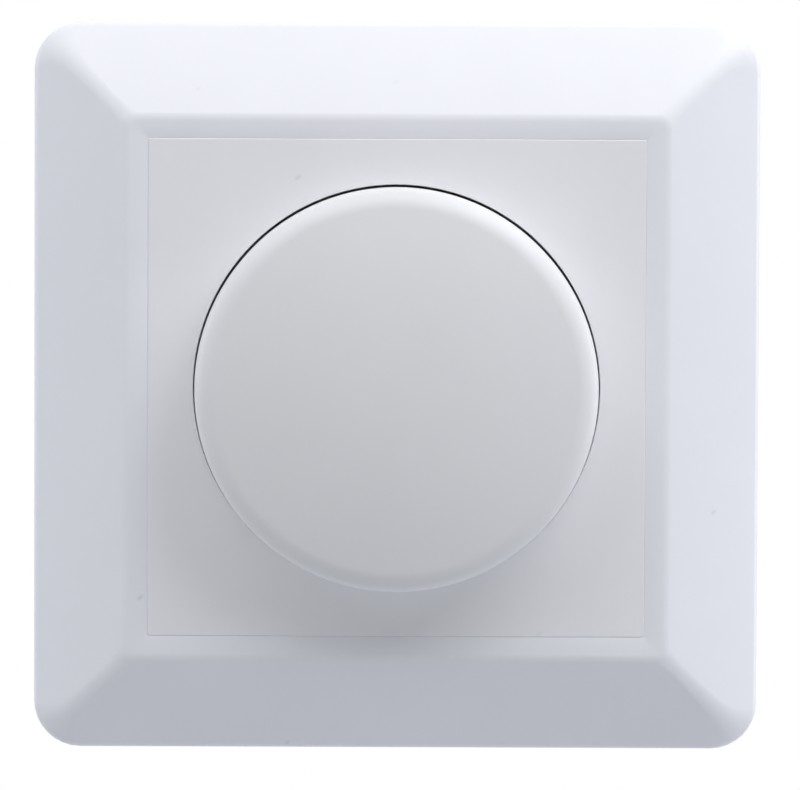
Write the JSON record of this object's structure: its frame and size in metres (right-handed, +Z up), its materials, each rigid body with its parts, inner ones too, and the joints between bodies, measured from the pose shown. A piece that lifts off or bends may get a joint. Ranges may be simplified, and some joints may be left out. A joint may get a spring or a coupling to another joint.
{
  "type": "rotary dimmer switch",
  "caption": "Flush wall dimmer switch with a square bevelled frame, a square centre plate and a large round knob that turns to dim and pushes to switch.",
  "frame": {"origin": "centre of the support plate's rear face, on the wall plane and on the knob's axis", "axes": "+X to the right seen from the front, +Y into the wall, +Z up; the knob faces -Y"},
  "size_m": [0.081, 0.0465, 0.081],
  "materials": {
    "white_plastic": "smooth moulded, semi-gloss",
    "knob_plastic": "smooth moulded, semi-gloss",
    "housing_plastic": "moulded, fine matt",
    "zinc_steel": "zinc plated",
    "brass": "plain",
    "nickel": "nickel plated",
    "cup_metal": "pressed",
    "inner_plastic": "moulded",
    "switch_plastic": "moulded",
    "component_black": "moulded",
    "component_yellow": "moulded",
    "component_blue": "lacquered",
    "insulating_pad": "matt",
    "ferrite": "matt",
    "copper_wire": "enamelled",
    "fuse_glass": "clear"
  },
  "bodies": {
    "base": {"cover_frame": "white_plastic", "centre_plate": "white_plastic", "housing": "housing_plastic", "front_cover": "housing_plastic", "support_plate": "zinc_steel", "housing_screws": "zinc_steel", "triac_rivet": "zinc_steel", "terminal_screws": "zinc_steel", "return_spring": "zinc_steel", "bushing": "brass", "fixing_nut": "brass", "switch_contacts": "brass", "fuse_clips": "brass", "line_terminal": "brass", "load_terminal": "brass", "second_terminal": "brass", "fuse_caps": "nickel", "potentiometer_cup": "cup_metal", "track_disc": "inner_plastic", "circuit_board": "inner_plastic", "switch_body": "switch_plastic", "triac": "component_black", "mains_capacitor": "component_yellow", "timing_capacitor": "component_yellow", "resistors": "component_blue", "diac": "component_blue", "triac_pad": "insulating_pad", "choke_core": "ferrite", "choke_winding": "copper_wire", "fuse_tube": "fuse_glass"},
    "rotor": {"rotor": "inner_plastic", "wiper": "brass"},
    "knob": {"knob": "knob_plastic", "knob_clip": "zinc_steel", "shaft": "zinc_steel"},
    "plunger": {"switch_plunger": "switch_plastic", "contact_bridge": "brass"}
  },
  "joints": [
    {"name": "knob_turn", "type": "hinge", "parent": "base", "child": "rotor", "pos_m": [0, 0, 0], "axis": [0, 1, 0], "range_deg": [0, 270]},
    {"name": "knob_push", "type": "slide", "parent": "rotor", "child": "knob", "axis": [0, 1, 0], "range_m": [0, 0.0018], "stiffness_N_per_m": 1200, "springref_m": -0.003},
    {"name": "plunger_slide", "type": "slide", "parent": "base", "child": "plunger", "axis": [0, 1, 0], "range_m": [0, 0.0018], "deforming": ["return_spring"]}
  ],
  "couplings": [
    {"joint": "plunger_slide", "follows": "knob_push", "ratio": 1}
  ]
}
